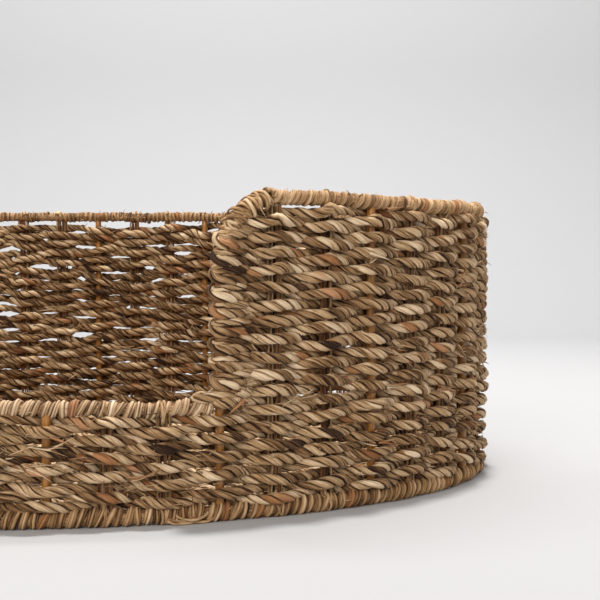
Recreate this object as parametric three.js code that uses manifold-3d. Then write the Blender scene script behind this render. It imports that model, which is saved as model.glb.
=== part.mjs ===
// A low oval basket woven from twisted seagrass cord, cut away at the front.
//
// Millimetres, +Z up. The origin is on the floor under the middle of the basket, +X runs along its long
// axis and -Y is the cut-away front. A place on the wall is given by its distance s along the middle line
// of the wall, from the middle of the front and counter-clockwise seen from above, and by its height.

import * as THREE from "three";
import { mergeVertices } from "three/addons/utils/BufferGeometryUtils.js";
import Module from "manifold-3d";

// ---- Driving dimensions
const LENGTH = 690;
const WIDTH = 486;
const HEIGHT = 200;
const LOW_HEIGHT = 73; // floor to the top of the low front rim
const CORD = 6.2; // thickness of the weft cord
const POST = 5.6; // thickness of a rattan post
const EDGE = 154; // along the wall, from the middle of the front to the edge cane of the cut-out
const LOW_SPACES = 9; // spaces between uprights across the cut-out, rattan posts and soft ones together
const HIGH_SPACES = 42; // the same for the high wall
const POST_EVERY = 3; // every third upright is a rattan post
const HOOP_WRAP = 11; // thickness of the bound bottom hoop
const RIM_WRAP = 10; // thickness of the bound top rim
const LOW_WRAP = 9; // thickness of the bound low rim
const CORE = 5.2; // thickness of the cane inside each bound rim
const BORE = 7.6; // hollow that a binding leaves for its cane
const CORNER_WRAP = 12; // thickness of the binding on the rounded corner
const CORNER_BORE = 8.6;
const LOWER_BANDS = 3;
const UPPER_BANDS = 5;
const CROSSBARS = [-220, -110, 0, 110, 220]; // places of the base canes along X
const CROSSBAR = 4; // thickness of a base cane
const MAT_THICKNESS = 14;
const MAT_FLOOR = 1; // floor to the underside of the base mat
const MAT_STRIPS = 5;
const MAT_CLEAR = 1.5; // base mat to the inside of the wall round it
const GAP = 0.3; // between pieces that touch
const EDGE_TURN = 8; // from the edge cane's middle to the outside of the cords that turn back round it
const CORNER_TURN = 138; // height where the turned cords give way to the corner binding
const CORNER_JOIN = 2; // along the rim, between the corner binding and the rim's own

// The edge cane's middle line above the turned cords: distance back from the cut-out, and height.
const CORNER_LINE = [[0, 139], [0, 148], [3, 160], [10, 173], [20, 185], [34, 193.5]];
// The end of the woven wall behind the corner binding, in the same terms.
const CORNER_CUT = [[6.8, 138], [6.8, 150], [9.8, 158.5], [16.5, 169], [25.5, 178.5], [33, 184.5], [41, 187.5]];

// ---- How finely curves are cut up
const WALL_STEPS = 1440; // round the ellipse, to measure distances along it
const WALL_FACETS = 54; // round the woven wall
const CANE_SIDES = 6;
const BINDING_SIDES = 8; // one of them lies flat on the floor
const EDGE_CANE_STEPS = 24;
const CORNER_STEPS = 8;
const MAT_END_STEPS = 8;

// ---- What follows from them
const WALL = 2 * CORD + POST;
const HALF_X = (LENGTH - WALL) / 2; // half axes of the wall's middle line
const HALF_Y = (WIDTH - WALL) / 2;
const FLAT = Math.cos(Math.PI / BINDING_SIDES); // from the middle of a binding to its flat, over its radius
const HOOP_Z = (HOOP_WRAP / 2) * FLAT;
const RIM_Z = HEIGHT - (RIM_WRAP / 2) * FLAT;
const LOW_Z = LOW_HEIGHT - (LOW_WRAP / 2) * FLAT;
const WEAVE_BOTTOM = HOOP_Z + (HOOP_WRAP / 2) * FLAT + GAP;
const LOW_TOP = LOW_Z - (LOW_WRAP / 2) * FLAT - GAP;
const WEAVE_TOP = RIM_Z - (RIM_WRAP / 2) * FLAT - GAP;
const arcLength = measureWall();
const PERIMETER = arcLength.at(-1);
const FACET = PERIMETER / WALL_FACETS;
const RIM_START = EDGE + CORNER_LINE.at(-1)[0] + CORNER_JOIN;

const wasm = await Module();
wasm.setup();

// ---- Materials
function material(colour, roughness) {
  return new THREE.MeshStandardMaterial({ color: colour, roughness, metalness: 0 });
}
const rattan = material(0x9a6a35, 0.45);
const weft = material(0x8f7a55, 0.85);
const wrap = material(0xa08a62, 0.85);
const paleWrap = material(0xb59d70, 0.85);
const mat = material(0x86714e, 0.9);

// ---- The wall's middle line
// Distance along the middle line at each of many equal steps of the ellipse's own angle.
function measureWall() {
  const lengths = [0];
  let last = new THREE.Vector2(0, -HALF_Y);
  for (let i = 1; i <= WALL_STEPS; i += 1) {
    const angle = (2 * Math.PI * i) / WALL_STEPS - Math.PI / 2;
    const next = new THREE.Vector2(HALF_X * Math.cos(angle), HALF_Y * Math.sin(angle));
    lengths.push(lengths[i - 1] + next.distanceTo(last));
    last = next;
  }
  return lengths;
}

// The ellipse's angle at distance s along the middle line.
function wallAngle(s) {
  const turns = Math.floor(s / PERIMETER);
  const rest = s - turns * PERIMETER;
  const above = arcLength.findIndex((length) => length >= rest);
  const upper = Math.max(above, 1);
  const share = (rest - arcLength[upper - 1]) / (arcLength[upper] - arcLength[upper - 1]);
  return 2 * Math.PI * (turns + (upper - 1 + share) / WALL_STEPS) - Math.PI / 2;
}

function wallNormal(s) {
  const angle = wallAngle(s);
  return new THREE.Vector2(HALF_Y * Math.cos(angle), HALF_X * Math.sin(angle)).normalize();
}

// The point at distance s, moved outwards by out.
function wallPoint(s, out = 0) {
  const angle = wallAngle(s);
  const point = new THREE.Vector2(HALF_X * Math.cos(angle), HALF_Y * Math.sin(angle));
  return point.addScaledVector(wallNormal(s), out);
}

function wallPoint3(s, z) {
  const point = wallPoint(s);
  return new THREE.Vector3(point.x, point.y, z);
}

// Points from distance s0 to s1, one at least every facet.
function wallPoints(s0, s1, out) {
  const steps = Math.ceil((s1 - s0) / FACET - 1e-6);
  return Array.from({ length: steps + 1 }, (_, i) => wallPoint(s0 + ((s1 - s0) * i) / steps, out));
}

// ---- Solids
// The geometry as a manifold solid, for cutting.
function solid(geometry) {
  const bare = geometry.clone();
  bare.deleteAttribute("normal");
  bare.deleteAttribute("uv");
  const merged = mergeVertices(bare, 1e-4);
  const vertProperties = new Float32Array(merged.attributes.position.array);
  const triVerts = new Uint32Array(merged.index.array);
  return new wasm.Manifold(new wasm.Mesh({ numProp: 3, vertProperties, triVerts }));
}

function geometryOf(shape) {
  const { vertProperties, triVerts } = shape.getMesh();
  const geometry = new THREE.BufferGeometry();
  geometry.setAttribute("position", new THREE.BufferAttribute(new Float32Array(vertProperties), 3));
  geometry.setIndex(new THREE.BufferAttribute(new Uint32Array(triVerts), 1));
  return geometry;
}

// The geometry with each of the tools cut away.
function cut(geometry, tools) {
  return geometryOf(tools.reduce((body, tool) => body.subtract(solid(tool)), solid(geometry)));
}

function polygon(radius, sides) {
  const turn = Math.PI / sides;
  return Array.from({ length: sides }, (_, i) => {
    const angle = turn + 2 * turn * i;
    return new THREE.Vector2(radius * Math.cos(angle), radius * Math.sin(angle));
  });
}

// A cane or a binding along a curve: a round section, hollow where a bore is given.
function tube(curve, steps, diameter, bore = 0) {
  const section = new THREE.Shape(polygon(diameter / 2, bore ? BINDING_SIDES : CANE_SIDES));
  if (bore) section.holes.push(new THREE.Path(polygon(bore / 2, CANE_SIDES)));
  return new THREE.ExtrudeGeometry(section, { extrudePath: curve, steps, bevelEnabled: false });
}

// A level line along the wall, at height z.
class WallCurve extends THREE.Curve {
  constructor(s0, s1, z) {
    super();
    this.s0 = s0;
    this.s1 = s1;
    this.z = z;
  }

  getPoint(t, target = new THREE.Vector3()) {
    return target.copy(wallPoint3(this.s0 + (this.s1 - this.s0) * t, this.z));
  }
}

function wallTube(s0, s1, z, diameter, bore) {
  const steps = Math.ceil((s1 - s0) / FACET);
  return tube(new WallCurve(s0, s1, z), steps, diameter, bore);
}

const group = new THREE.Group();

function add(name, geometry, look, z = 0) {
  const mesh = new THREE.Mesh(geometry, look);
  mesh.name = name;
  mesh.position.z = z;
  group.add(mesh);
}

// ---- Uprights
// Places of the rattan posts and edge canes, from the middle of the front.
function postPlaces() {
  const low = (2 * EDGE * POST_EVERY) / LOW_SPACES;
  const high = ((PERIMETER - 2 * EDGE) * POST_EVERY) / HIGH_SPACES;
  const highCount = HIGH_SPACES / POST_EVERY + 1;
  const onHighWall = Array.from({ length: highCount }, (_, i) => EDGE + i * high);
  return [EDGE - low, ...onHighWall, PERIMETER - EDGE + low];
}

function isEdge(s) {
  return Math.abs(s - EDGE) < 1 || Math.abs(s - (PERIMETER - EDGE)) < 1;
}

function inCutOut(s) {
  return s < EDGE - 1 || s > PERIMETER - EDGE + 1;
}

function upright(s, z0, z1, diameter) {
  const geometry = new THREE.CylinderGeometry(diameter / 2, diameter / 2, z1 - z0, CANE_SIDES);
  geometry.rotateX(Math.PI / 2);
  const place = wallPoint(s);
  return geometry.translate(place.x, place.y, (z0 + z1) / 2);
}

function addPosts() {
  postPlaces().forEach((s, i) => {
    if (isEdge(s)) return;
    const top = inCutOut(s) ? LOW_TOP : WEAVE_TOP;
    add(`post_${String(i + 1).padStart(2, "0")}`, upright(s, WEAVE_BOTTOM, top, POST), rattan);
  });
}

// A point of the corner: u back from the cut-out's edge on the side given by side (1 right, -1 left).
function cornerPoint(side, [u, z]) {
  return wallPoint3(side * (EDGE + u), z);
}

// The edge cane stands at the end of the high wall and bends over at the top to meet the rim.
function addEdgeCane(side, name) {
  const foot = cornerPoint(side, [0, WEAVE_BOTTOM]);
  const points = CORNER_LINE.map((place) => cornerPoint(side, place));
  const line = new THREE.CatmullRomCurve3(points, false, "centripetal");
  const path = new THREE.CurvePath();
  path.add(new THREE.LineCurve3(foot, points[0]));
  path.add(line);
  add(`edge_cane_${name}`, tube(path, EDGE_CANE_STEPS, POST), rattan);
  add(`corner_binding_${name}`, tube(line, CORNER_STEPS, CORNER_WRAP, CORNER_BORE), wrap);
}

// ---- The woven wall
// A channel for each post and edge cane, wide enough for a cane turned any way.
function channels(z0, z1) {
  const past = 1;
  const acrossFlats = POST + 1;
  const acrossCorners = acrossFlats / Math.cos(Math.PI / CANE_SIDES);
  return postPlaces().map((s) => upright(s, z0 - past, z1 + past, acrossCorners));
}

function closedBand(z0, z1) {
  const outer = new THREE.Shape(wallPoints(0, PERIMETER, WALL / 2).slice(0, -1));
  outer.holes.push(new THREE.Path(wallPoints(0, PERIMETER, -WALL / 2).slice(0, -1)));
  const ring = new THREE.ExtrudeGeometry(outer, { depth: z1 - z0, bevelEnabled: false });
  return cut(ring.translate(0, 0, z0), channels(z0, z1));
}

// What the rounded corner takes off the end of the high wall.
function cornerTool(side) {
  const past = 60;
  const top = HEIGHT + past;
  const outline = [[-past, CORNER_TURN], ...CORNER_CUT, [CORNER_CUT.at(-1)[0], top], [-past, top]];
  const shape = new THREE.Shape(outline.map(([u, z]) => new THREE.Vector2(side * u, z)));
  const tool = new THREE.ExtrudeGeometry(shape, { depth: 2 * past, bevelEnabled: false });
  tool.translate(0, 0, -past);
  const s = side * EDGE;
  const normal = wallNormal(s);
  const place = wallPoint(s);
  const frame = new THREE.Matrix4().makeBasis(
    new THREE.Vector3(-normal.y, normal.x, 0),
    new THREE.Vector3(0, 0, 1),
    new THREE.Vector3(normal.x, normal.y, 0),
  );
  frame.setPosition(place.x, place.y, 0);
  return tool.applyMatrix4(frame);
}

// A band of the high wall, open at the cut-out.
function openBand(z0, z1) {
  const s0 = EDGE - EDGE_TURN;
  const s1 = PERIMETER - s0;
  const outside = wallPoints(s0, s1, WALL / 2);
  const inside = wallPoints(s0, s1, -WALL / 2).reverse();
  const shape = new THREE.Shape([...outside, ...inside]);
  const band = new THREE.ExtrudeGeometry(shape, { depth: z1 - z0, bevelEnabled: false });
  const corners = z1 > CORNER_TURN ? [cornerTool(1), cornerTool(-1)] : [];
  return cut(band.translate(0, 0, z0), [...channels(z0, z1), ...corners]);
}

function addBands(label, count, bottom, top, make) {
  const height = (top - bottom - GAP * (count - 1)) / count;
  for (let i = 0; i < count; i += 1) {
    const z0 = bottom + i * (height + GAP);
    add(`${label}_${i + 1}`, make(z0, z0 + height), weft);
  }
}

// ---- Bound rims
function addHoop() {
  const quarter = PERIMETER / 4;
  add("bottom_hoop_core", wallTube(-PERIMETER / 2 + GAP, PERIMETER / 2 - GAP, HOOP_Z, CORE), rattan);
  ["front", "right", "back", "left"].forEach((name, i) => {
    const start = (i - 0.5) * quarter + GAP;
    const end = (i + 0.5) * quarter - GAP;
    add(`bottom_binding_${name}`, wallTube(start, end, HOOP_Z, HOOP_WRAP, BORE), wrap);
  });
}

function addRim() {
  const end = PERIMETER - RIM_START;
  add("rim_core", wallTube(RIM_START, end, RIM_Z, CORE), rattan);
  const third = (end - RIM_START) / 3;
  ["right", "back", "left"].forEach((name, i) => {
    const from = RIM_START + i * third + (i ? GAP : 0);
    const to = RIM_START + (i + 1) * third - (i < 2 ? GAP : 0);
    add(`rim_binding_${name}`, wallTube(from, to, RIM_Z, RIM_WRAP, BORE), wrap);
  });
}

function addLowRim() {
  const reach = EDGE - EDGE_TURN - GAP;
  add("low_rim_core", wallTube(-reach, reach, LOW_Z, CORE), rattan);
  add("low_rim_binding", wallTube(-reach, reach, LOW_Z, LOW_WRAP, BORE), paleWrap);
}

// ---- Base
// Half axes of the base mat, which lies inside the wall and the bound hoop.
const MAT_X = HALF_X - WALL / 2 - MAT_CLEAR;
const MAT_Y = HALF_Y - WALL / 2 - MAT_CLEAR;
const MAT_MIDDLE = MAT_FLOOR + MAT_THICKNESS / 2;

// A base cane at x, or the channel for one, ending past the edge of the base mat by past.
function crossbar(x, diameter, past) {
  const half = MAT_Y * Math.sqrt(1 - (x / MAT_X) ** 2) + past;
  const bar = new THREE.CylinderGeometry(diameter / 2, diameter / 2, 2 * half, CANE_SIDES);
  return bar.translate(x, 0, MAT_MIDDLE);
}

// One strip of the base mat, between y0 and y1, rounded to the hoop at both ends.
function matStrip(y0, y1) {
  const from = Math.asin(Math.max(y0 / MAT_Y, -1));
  const to = Math.asin(Math.min(y1 / MAT_Y, 1));
  const right = Array.from({ length: MAT_END_STEPS + 1 }, (_, i) => {
    const angle = from + ((to - from) * i) / MAT_END_STEPS;
    return new THREE.Vector2(MAT_X * Math.cos(angle), MAT_Y * Math.sin(angle));
  });
  const left = right.map((p) => new THREE.Vector2(-p.x, p.y)).reverse();
  const outline = [...right, ...left].filter((p, i, all) => p.distanceTo(all.at(i - 1)) > 0.01);
  const strip = new THREE.ExtrudeGeometry(new THREE.Shape(outline), {
    depth: MAT_THICKNESS,
    bevelEnabled: false,
  });
  const bars = CROSSBARS.map((x) => crossbar(x, CROSSBAR + 2 * GAP, 2));
  return cut(strip.translate(0, 0, MAT_FLOOR), bars);
}

function addBase() {
  CROSSBARS.forEach((x, i) => add(`base_cane_${i + 1}`, crossbar(x, CROSSBAR, -1), rattan));
  const deep = (2 * MAT_Y - GAP * (MAT_STRIPS - 1)) / MAT_STRIPS;
  for (let i = 0; i < MAT_STRIPS; i += 1) {
    const y0 = -MAT_Y + i * (deep + GAP);
    add(`base_mat_${i + 1}`, matStrip(y0, y0 + deep), mat);
  }
}

addHoop();
addBase();
addPosts();
addEdgeCane(1, "right");
addEdgeCane(-1, "left");
addBands("lower_weave", LOWER_BANDS, WEAVE_BOTTOM, LOW_TOP, closedBand);
addBands("upper_weave", UPPER_BANDS, LOW_TOP + GAP, WEAVE_TOP, openBand);
addLowRim();
addRim();

export default group;
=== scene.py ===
"""The looks of a low oval basket woven from twisted seagrass cord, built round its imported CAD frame.

Metres, +Z up, in the CAD's own frame. A place on the wall is (s, out, z): the distance s along the wall's
middle line from the middle of the front, counter-clockwise seen from above, then the distance outwards
from that line, and the height.
"""

import math

import bpy
import numpy as np
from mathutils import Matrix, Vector


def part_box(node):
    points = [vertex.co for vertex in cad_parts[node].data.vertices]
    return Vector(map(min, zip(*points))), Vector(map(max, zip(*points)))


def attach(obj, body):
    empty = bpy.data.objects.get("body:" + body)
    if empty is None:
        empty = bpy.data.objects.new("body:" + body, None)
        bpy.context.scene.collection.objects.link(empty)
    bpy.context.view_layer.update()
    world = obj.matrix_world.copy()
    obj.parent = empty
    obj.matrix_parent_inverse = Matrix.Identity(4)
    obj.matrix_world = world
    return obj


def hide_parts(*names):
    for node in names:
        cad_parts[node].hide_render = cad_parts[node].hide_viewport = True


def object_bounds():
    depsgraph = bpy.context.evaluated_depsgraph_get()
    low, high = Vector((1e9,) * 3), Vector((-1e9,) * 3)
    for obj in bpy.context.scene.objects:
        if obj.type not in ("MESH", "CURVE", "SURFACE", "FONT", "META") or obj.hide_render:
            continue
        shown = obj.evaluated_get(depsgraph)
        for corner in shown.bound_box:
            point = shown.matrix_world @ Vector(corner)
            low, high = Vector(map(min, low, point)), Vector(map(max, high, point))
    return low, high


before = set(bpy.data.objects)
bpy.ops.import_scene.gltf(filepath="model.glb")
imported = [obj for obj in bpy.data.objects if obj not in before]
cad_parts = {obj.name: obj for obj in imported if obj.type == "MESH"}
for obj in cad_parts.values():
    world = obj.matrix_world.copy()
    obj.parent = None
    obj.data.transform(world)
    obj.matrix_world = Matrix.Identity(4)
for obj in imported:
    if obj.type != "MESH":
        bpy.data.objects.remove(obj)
CAD_BOX = [list(corner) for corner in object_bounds()]

# ---- Sizes that the frame doesn't say
EDGE = 0.154  # along the wall, from the middle of the front to the edge cane of the cut-out
LOW_SPACES = 9  # spaces between uprights across the cut-out
HIGH_SPACES = 42  # spaces between uprights round the high wall
POST_EVERY = 3  # every third upright is a rattan post
CORD = 0.0062  # thickness of the weft cord
POST = 0.0056  # thickness of a rattan post
WALL = 2 * CORD + POST
CANE = 0.0052  # thickness of the cane inside each bound rim
LOWER_ROWS = 10
UPPER_ROWS = 24
PLIES = 3
TWIST = 0.0268  # length of one full turn of the cord's plies
STEP = 0.0020  # length of cord between two rings of its mesh
RUSTY_PLIES = 0.035  # the share of a ply's visible lengths that are rust-red
ROW_SLACK = 1.03  # how much longer a row's cord is than the wall's middle line
TURN_STEPS = 16  # rings of mesh in a row's turn round an edge cane
SOFT_REACH = 0.0046  # how far the weft stands off the middle line at a soft upright
RIM_START = 0.033  # from the edge cane to the end of the straight top rim
CORNER_DEPTH = 0.034  # how far the corner takes the wall's end back at the rim's height
LOW_RIM_GAP = 0.0045  # from the end of the low rim's wrap to the edge cane's middle
RIM_STRAND = 0.0042  # width of one turn of strand on the top rim
WIDE_STRAND = 0.0054  # width of one turn of strand on the low rim and on the bottom hoop
BLADE_SPREAD = 0.86  # how much of a turn's width its blades cover
PAPER = (0.475, 0.475, 0.482, 1)  # colour of the floor and backdrop
ROOM_LIGHT = 0.50  # strength of the light from all round
SOFT_STRANDS = 9  # strands in a soft upright
STRAY_FIBRES = 1100  # short ends that stand out of the cords
CUT_ENDS = 26  # cut cord ends at random places
CUT_END_BLADES = 16  # blades in a cut end
SPLICES = 64  # bundles of loose blades where a new length of cord begins
LOOSE_BLADES = 34  # broad single blades
SLIPPED_LOOPS = 7  # loops of binding that hang down in front of the hoop
TIP_START = 0.036  # from the edge cane to the first stray tip on the top rim
SEED = 11

UP = np.array([0, 0, 1.0])

rng = np.random.default_rng(SEED)

# ---- Sizes from the frame
HALF_X = CAD_BOX[1][0] - WALL / 2
HALF_Y = CAD_BOX[1][1] - WALL / 2
HEIGHT = CAD_BOX[1][2]


def height_and_radius(node):
    """The middle height of a level rim, and its radius."""
    low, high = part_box(node)
    return (low.z + high.z) / 2, (high.z - low.z) / 2


HOOP_Z, HOOP_R = height_and_radius("bottom_binding_front")
RIM_Z, RIM_R = height_and_radius("rim_binding_back")
LOW_Z, LOW_R = height_and_radius("low_rim_binding")
WEAVE_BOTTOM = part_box("lower_weave_1")[0].z
CORNER_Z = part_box("corner_binding_right")[0].z
MAT_LOW, MAT_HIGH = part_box("base_mat_3")
MAT_Z = (MAT_LOW.z + MAT_HIGH.z) / 2
MAT_HALF_X = MAT_HIGH.x
MAT_HALF_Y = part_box("base_mat_5")[1].y

# ---- The wall's middle line
_angles = np.linspace(-math.pi / 2, 1.5 * math.pi, 4001)
_line = np.stack([HALF_X * np.cos(_angles), HALF_Y * np.sin(_angles)], 1)
_lengths = np.concatenate([[0], np.cumsum(np.hypot(*np.diff(_line, axis=0).T))])
PERIMETER = _lengths[-1]
HIGH_WALL = PERIMETER - 2 * EDGE  # length of the high wall
WARPS = LOW_SPACES + HIGH_SPACES
PITCH = HIGH_WALL / HIGH_SPACES


def bump(x, middle, half):
    """A rise of 1 at middle that fades over half on each side."""
    return np.exp(-((x - middle) / half) ** 2)


def lift(s):
    """How much higher the top rim stands at s than the CAD's level one, as hand-made rims wander."""
    back = (1 - np.cos(math.tau * np.asarray(s) / PERIMETER)) / 2
    return 0.0004 + 0.0078 * back ** 3 + 0.0013 * bump(s, 0.222, 0.030) - 0.0013 * bump(s, 0.335, 0.050)


def low_lift(s):
    """How much higher the low rim stands: it dips towards the cut-out's two edges."""
    off = (np.asarray(s) + PERIMETER / 2) % PERIMETER - PERIMETER / 2
    return np.where(np.abs(off) < EDGE, 0.0012 * (1 + np.cos(math.pi * off / EDGE)), 0) - 0.0004


def wall_frame(s):
    """The wall's middle point and its outward direction at s, as arrays of 2-D vectors."""
    angle = np.interp(np.mod(s, PERIMETER), _lengths, _angles)
    point = np.stack([HALF_X * np.cos(angle), HALF_Y * np.sin(angle)], -1)
    out = np.stack([HALF_Y * np.cos(angle), HALF_X * np.sin(angle)], -1)
    return point, out / np.linalg.norm(out, axis=-1, keepdims=True)


def place(s, out, z):
    """Points in space from places on the wall."""
    s, out, z = np.broadcast_arrays(np.asarray(s, float), out, z)
    point, normal = wall_frame(s)
    flat = point + normal * out[..., None]
    height = z + lift(s) * np.clip(z / HEIGHT, 0, 1) ** 1.5 + low_lift(s) * np.clip(z / LOW_Z, 0, 1)
    return np.concatenate([flat, height[..., None]], -1)


def outward(s):
    """The wall's outward direction at s, in space."""
    normal = wall_frame(s)[1]
    return np.concatenate([normal, np.zeros(normal.shape[:-1] + (1,))], -1)


def wander(shortest, size, length=PERIMETER):
    """A smooth random curve that repeats after length, with no wave shorter than shortest."""
    count = max(2, int(length / shortest))
    waves = np.arange(1, count + 1)
    heights = rng.normal(size=count) * size / math.sqrt(count / 2)
    phases = rng.uniform(0, math.tau, count)

    def curve(s):
        turns = math.tau * np.outer(np.asarray(s) / length, waves) + phases
        return (heights * np.cos(turns)).sum(1) / math.sqrt(2) * 1.2

    return curve


def chance(share):
    """1.0 that often, and 0.0 otherwise."""
    return float(rng.random() < share)


def unit(v):
    return v / np.maximum(np.linalg.norm(v, axis=-1, keepdims=True), 1e-12)


def smooth(x, low, high):
    """From 0 at low to 1 at high, with no corner at either end."""
    t = np.clip((x - low) / (high - low), 0, 1)
    return t * t * (3 - 2 * t)


# ---- Meshes
def add_object(name, data):
    """Puts a new object into the scene."""
    made = bpy.data.objects.new(name, data)
    bpy.context.scene.collection.objects.link(made)
    return made


class Skin:
    """Collects tubes, and makes them one mesh object with the marks that the materials read."""

    def __init__(self):
        self.points, self.quads, self.caps = [], [], []
        self.grain, self.tone, self.rust = [], [], []
        self.count = 0

    def tube(self, rings, grain, tone, rust):
        """Adds a tube: n rings of k points, with tone per point or per ring, and rust per ring."""
        n, k = rings.shape[:2]
        ids = self.count + np.arange(n * k).reshape(n, k)
        nxt = np.roll(ids, -1, 1)
        self.quads.append(np.stack([ids[:-1], nxt[:-1], nxt[1:], ids[1:]], -1).reshape(-1, 4))
        self.caps += [ids[0][::-1], ids[-1]]
        self.points.append(rings.reshape(-1, 3))
        self.grain.append(np.broadcast_to(grain, rings.shape).reshape(-1, 3))
        shades = tone if np.ndim(tone) == 2 else np.reshape(tone, (-1, 1))
        self.tone.append(np.broadcast_to(shades, (n, k)).reshape(-1))
        self.rust.append(np.repeat(np.broadcast_to(rust, n), k))
        self.count += n * k

    def piece(self, name, material, slot, nodes=()):
        """Makes the mesh object, which takes the place of the CAD nodes, if any."""
        mesh = bpy.data.meshes.new(name)
        quads = np.concatenate(self.quads)
        corners = np.concatenate([quads.reshape(-1)] + self.caps)
        sizes = np.concatenate([np.full(len(quads), 4), [len(c) for c in self.caps]]).astype(int)
        mesh.vertices.add(self.count)
        mesh.vertices.foreach_set("co", np.concatenate(self.points).astype(np.float32).ravel())
        mesh.loops.add(len(corners))
        mesh.polygons.add(len(sizes))
        mesh.polygons.foreach_set("loop_start", (np.cumsum(sizes) - sizes).astype(np.int32))
        mesh.polygons.foreach_set("vertices", corners.astype(np.int32))
        mesh.polygons.foreach_set("use_smooth", np.ones(len(sizes), bool))
        self.mark(mesh, "grain", "FLOAT_VECTOR", "vector", self.grain)
        self.mark(mesh, "tone", "FLOAT", "value", self.tone)
        self.mark(mesh, "rust", "FLOAT", "value", self.rust)
        mesh.update(calc_edges=True)
        mesh.validate()
        mesh.materials.append(material)
        piece = add_object(name, mesh)
        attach(piece, "root")
        if nodes:
            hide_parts(*nodes)

    def mark(self, mesh, name, kind, field, values):
        attribute = mesh.attributes.new(name, kind, "POINT")
        attribute.data.foreach_set(field, np.concatenate(values).astype(np.float32).ravel())


def sweep(line, side, up, across, along):
    """Rings of points round a line. across and along are n by k distances along side and up."""
    return line[:, None] + side[:, None] * across[..., None] + up[:, None] * along[..., None]


def marks(section, length):
    """Where each mesh point lies on its strand, in millimetres, so that grain runs along it."""
    grain = np.empty((len(length), len(section), 3))
    grain[..., :2] = section * 1000
    grain[..., 2] = length[:, None] * 1000 + rng.uniform(0, 4000)
    return grain


def lengths_of(line):
    return np.concatenate([[0], np.cumsum(np.linalg.norm(np.diff(line, axis=0), axis=1))])


def ply_section():
    """One ply's section, in cord thicknesses: a slice of a disc, bulging, with its edges drawn in, and
    the painted shade at each of its points.
    """
    half = math.pi / PLIES
    angles = np.linspace(-half, half, 9)
    share = angles / half
    radius = 0.435 + 0.095 * np.sqrt(np.clip(1 - share ** 2, 0, 1)) + 0.025 * share
    outer = np.stack([radius * np.cos(angles) + 0.03, radius * np.sin(angles)], 1)
    inner = [(0.16, 0.22), (0.04, 0.0), (0.16, -0.22)]
    # Painted shade: the ply darkens towards its two edges, where the grooves between plies lie, and its
    # inner points in the cord's middle are dark; the slope across the ply makes one edge a little lighter
    # than the other.
    shade = np.concatenate([0.08 - 0.42 * np.abs(share) ** 10 - 0.06 * share, [-0.4] * 3])
    return np.concatenate([outer, inner]), shade


PLY, PLY_PAINTED_SHADE = ply_section()


def folds(n, sides):
    """How deep the creases between a ply's blades are, from 0 to 1, at each point of n rings."""
    knots = max(4, n // 7)
    deep = np.where(rng.random((knots + 1, sides)) < 0.30, rng.uniform(0.4, 1.0, (knots + 1, sides)), 0)
    at = np.linspace(0, knots, n)
    low = np.minimum(at.astype(int), knots - 1)
    share = (at - low)[:, None]
    return deep[low] * (1 - share) + deep[low + 1] * share


def twisted_cord(skin, line, facing, size, look, phase=0.0, flatten=0.0, step=1):
    """A cord of plies twisted together, and the turn that it ends at, for the next length of it.

    facing is roughly outwards. size scales the thickness, and flatten presses it thinner along facing.
    step above 1 leaves out points of the ply's section.
    """
    n = len(line)
    along = unit(np.gradient(line, axis=0))
    side = unit(facing - along * (facing * along).sum(1, keepdims=True))
    up = np.cross(along, side)
    length = lengths_of(line)
    total = length[-1]
    rate = 1 + wander(0.040, 0.18, total)(length)
    mean_rate = (rate[1:] + rate[:-1]) / 2
    turns = np.concatenate([[0], np.cumsum(mean_rate * np.diff(length))]) / TWIST
    turn = phase + turns * math.tau
    section, shade = PLY[::step], PLY_PAINTED_SHADE[::step]
    thick = CORD * size * (1 + wander(0.014, 0.065, total)(length))
    for ply in range(PLIES):
        phi = turn + ply * math.tau / PLIES
        fold = folds(n, len(section))
        swell = (thick * (1 + wander(0.010, 0.08, total)(length)))[:, None]
        swell = swell * (1.03 - 0.14 * fold)
        u, v = swell * section[:, 0], swell * section[:, 1]
        cos, sin = np.cos(phi)[:, None], np.sin(phi)[:, None]
        press = np.broadcast_to(flatten, n)[:, None]
        across = (u * cos - v * sin) * (1 - press)
        upwards = (u * sin + v * cos) * (1 + 0.4 * press)
        rings = sweep(line, side, up, across, upwards)
        tone, rust = look(length, total)
        facet = np.floor(phi / math.pi + 0.5).astype(int)
        facet = facet - facet.min()
        tone = tone + rng.normal(0, 0.15, facet.max() + 1)[facet]
        rusty = (rng.random(facet.max() + 1) < RUSTY_PLIES).astype(float)
        rust = np.maximum(rust, rusty[facet])
        # Painted shade: the tone takes the ply section's painted shade, and darkens further in the
        # creases between a ply's blades.
        skin.tube(rings, marks(section * CORD, length), tone[:, None] + shade - 0.42 * fold, rust)
    return turn[-1]


def seagrass_look(base):
    """How light and how rust-red a ply is along its length, round a base tone."""

    def look(length, total):
        slow = wander(0.07, 0.11, total)(length)
        red = wander(0.03, 1.0, total)(length)
        return base + slow + rng.normal(0, 0.05), smooth(red, 1.8, 2.3)

    return look


def strand(skin, line, facing, flat, wide, tone, rust, sides=6, twist=0.0):
    """A single strand with an oval section: flat is its half thickness along facing."""
    along = unit(np.gradient(line, axis=0))
    side = unit(facing - along * (facing * along).sum(1, keepdims=True))
    up = np.cross(along, side)
    length = lengths_of(line)
    if twist:
        turn = (length / twist * math.tau)[:, None]
        side, up = side * np.cos(turn) + up * np.sin(turn), up * np.cos(turn) - side * np.sin(turn)
    angles = math.tau * np.arange(sides) / sides
    section = np.stack([np.cos(angles), np.sin(angles)], 1)
    flat, wide = np.broadcast_to(flat, len(line))[:, None], np.broadcast_to(wide, len(line))[:, None]
    rings = sweep(line, side, up, flat * section[:, 0], wide * section[:, 1])
    # Painted shade: the strand is a little lighter along its middle and darkens towards the two edges of
    # its width.
    shade = 0.05 - 0.30 * np.abs(section[:, 1]) ** 3
    tones = np.broadcast_to(tone, len(line))[:, None] + shade
    skin.tube(rings, marks(section * 0.0012, length), tones, rust)


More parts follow.
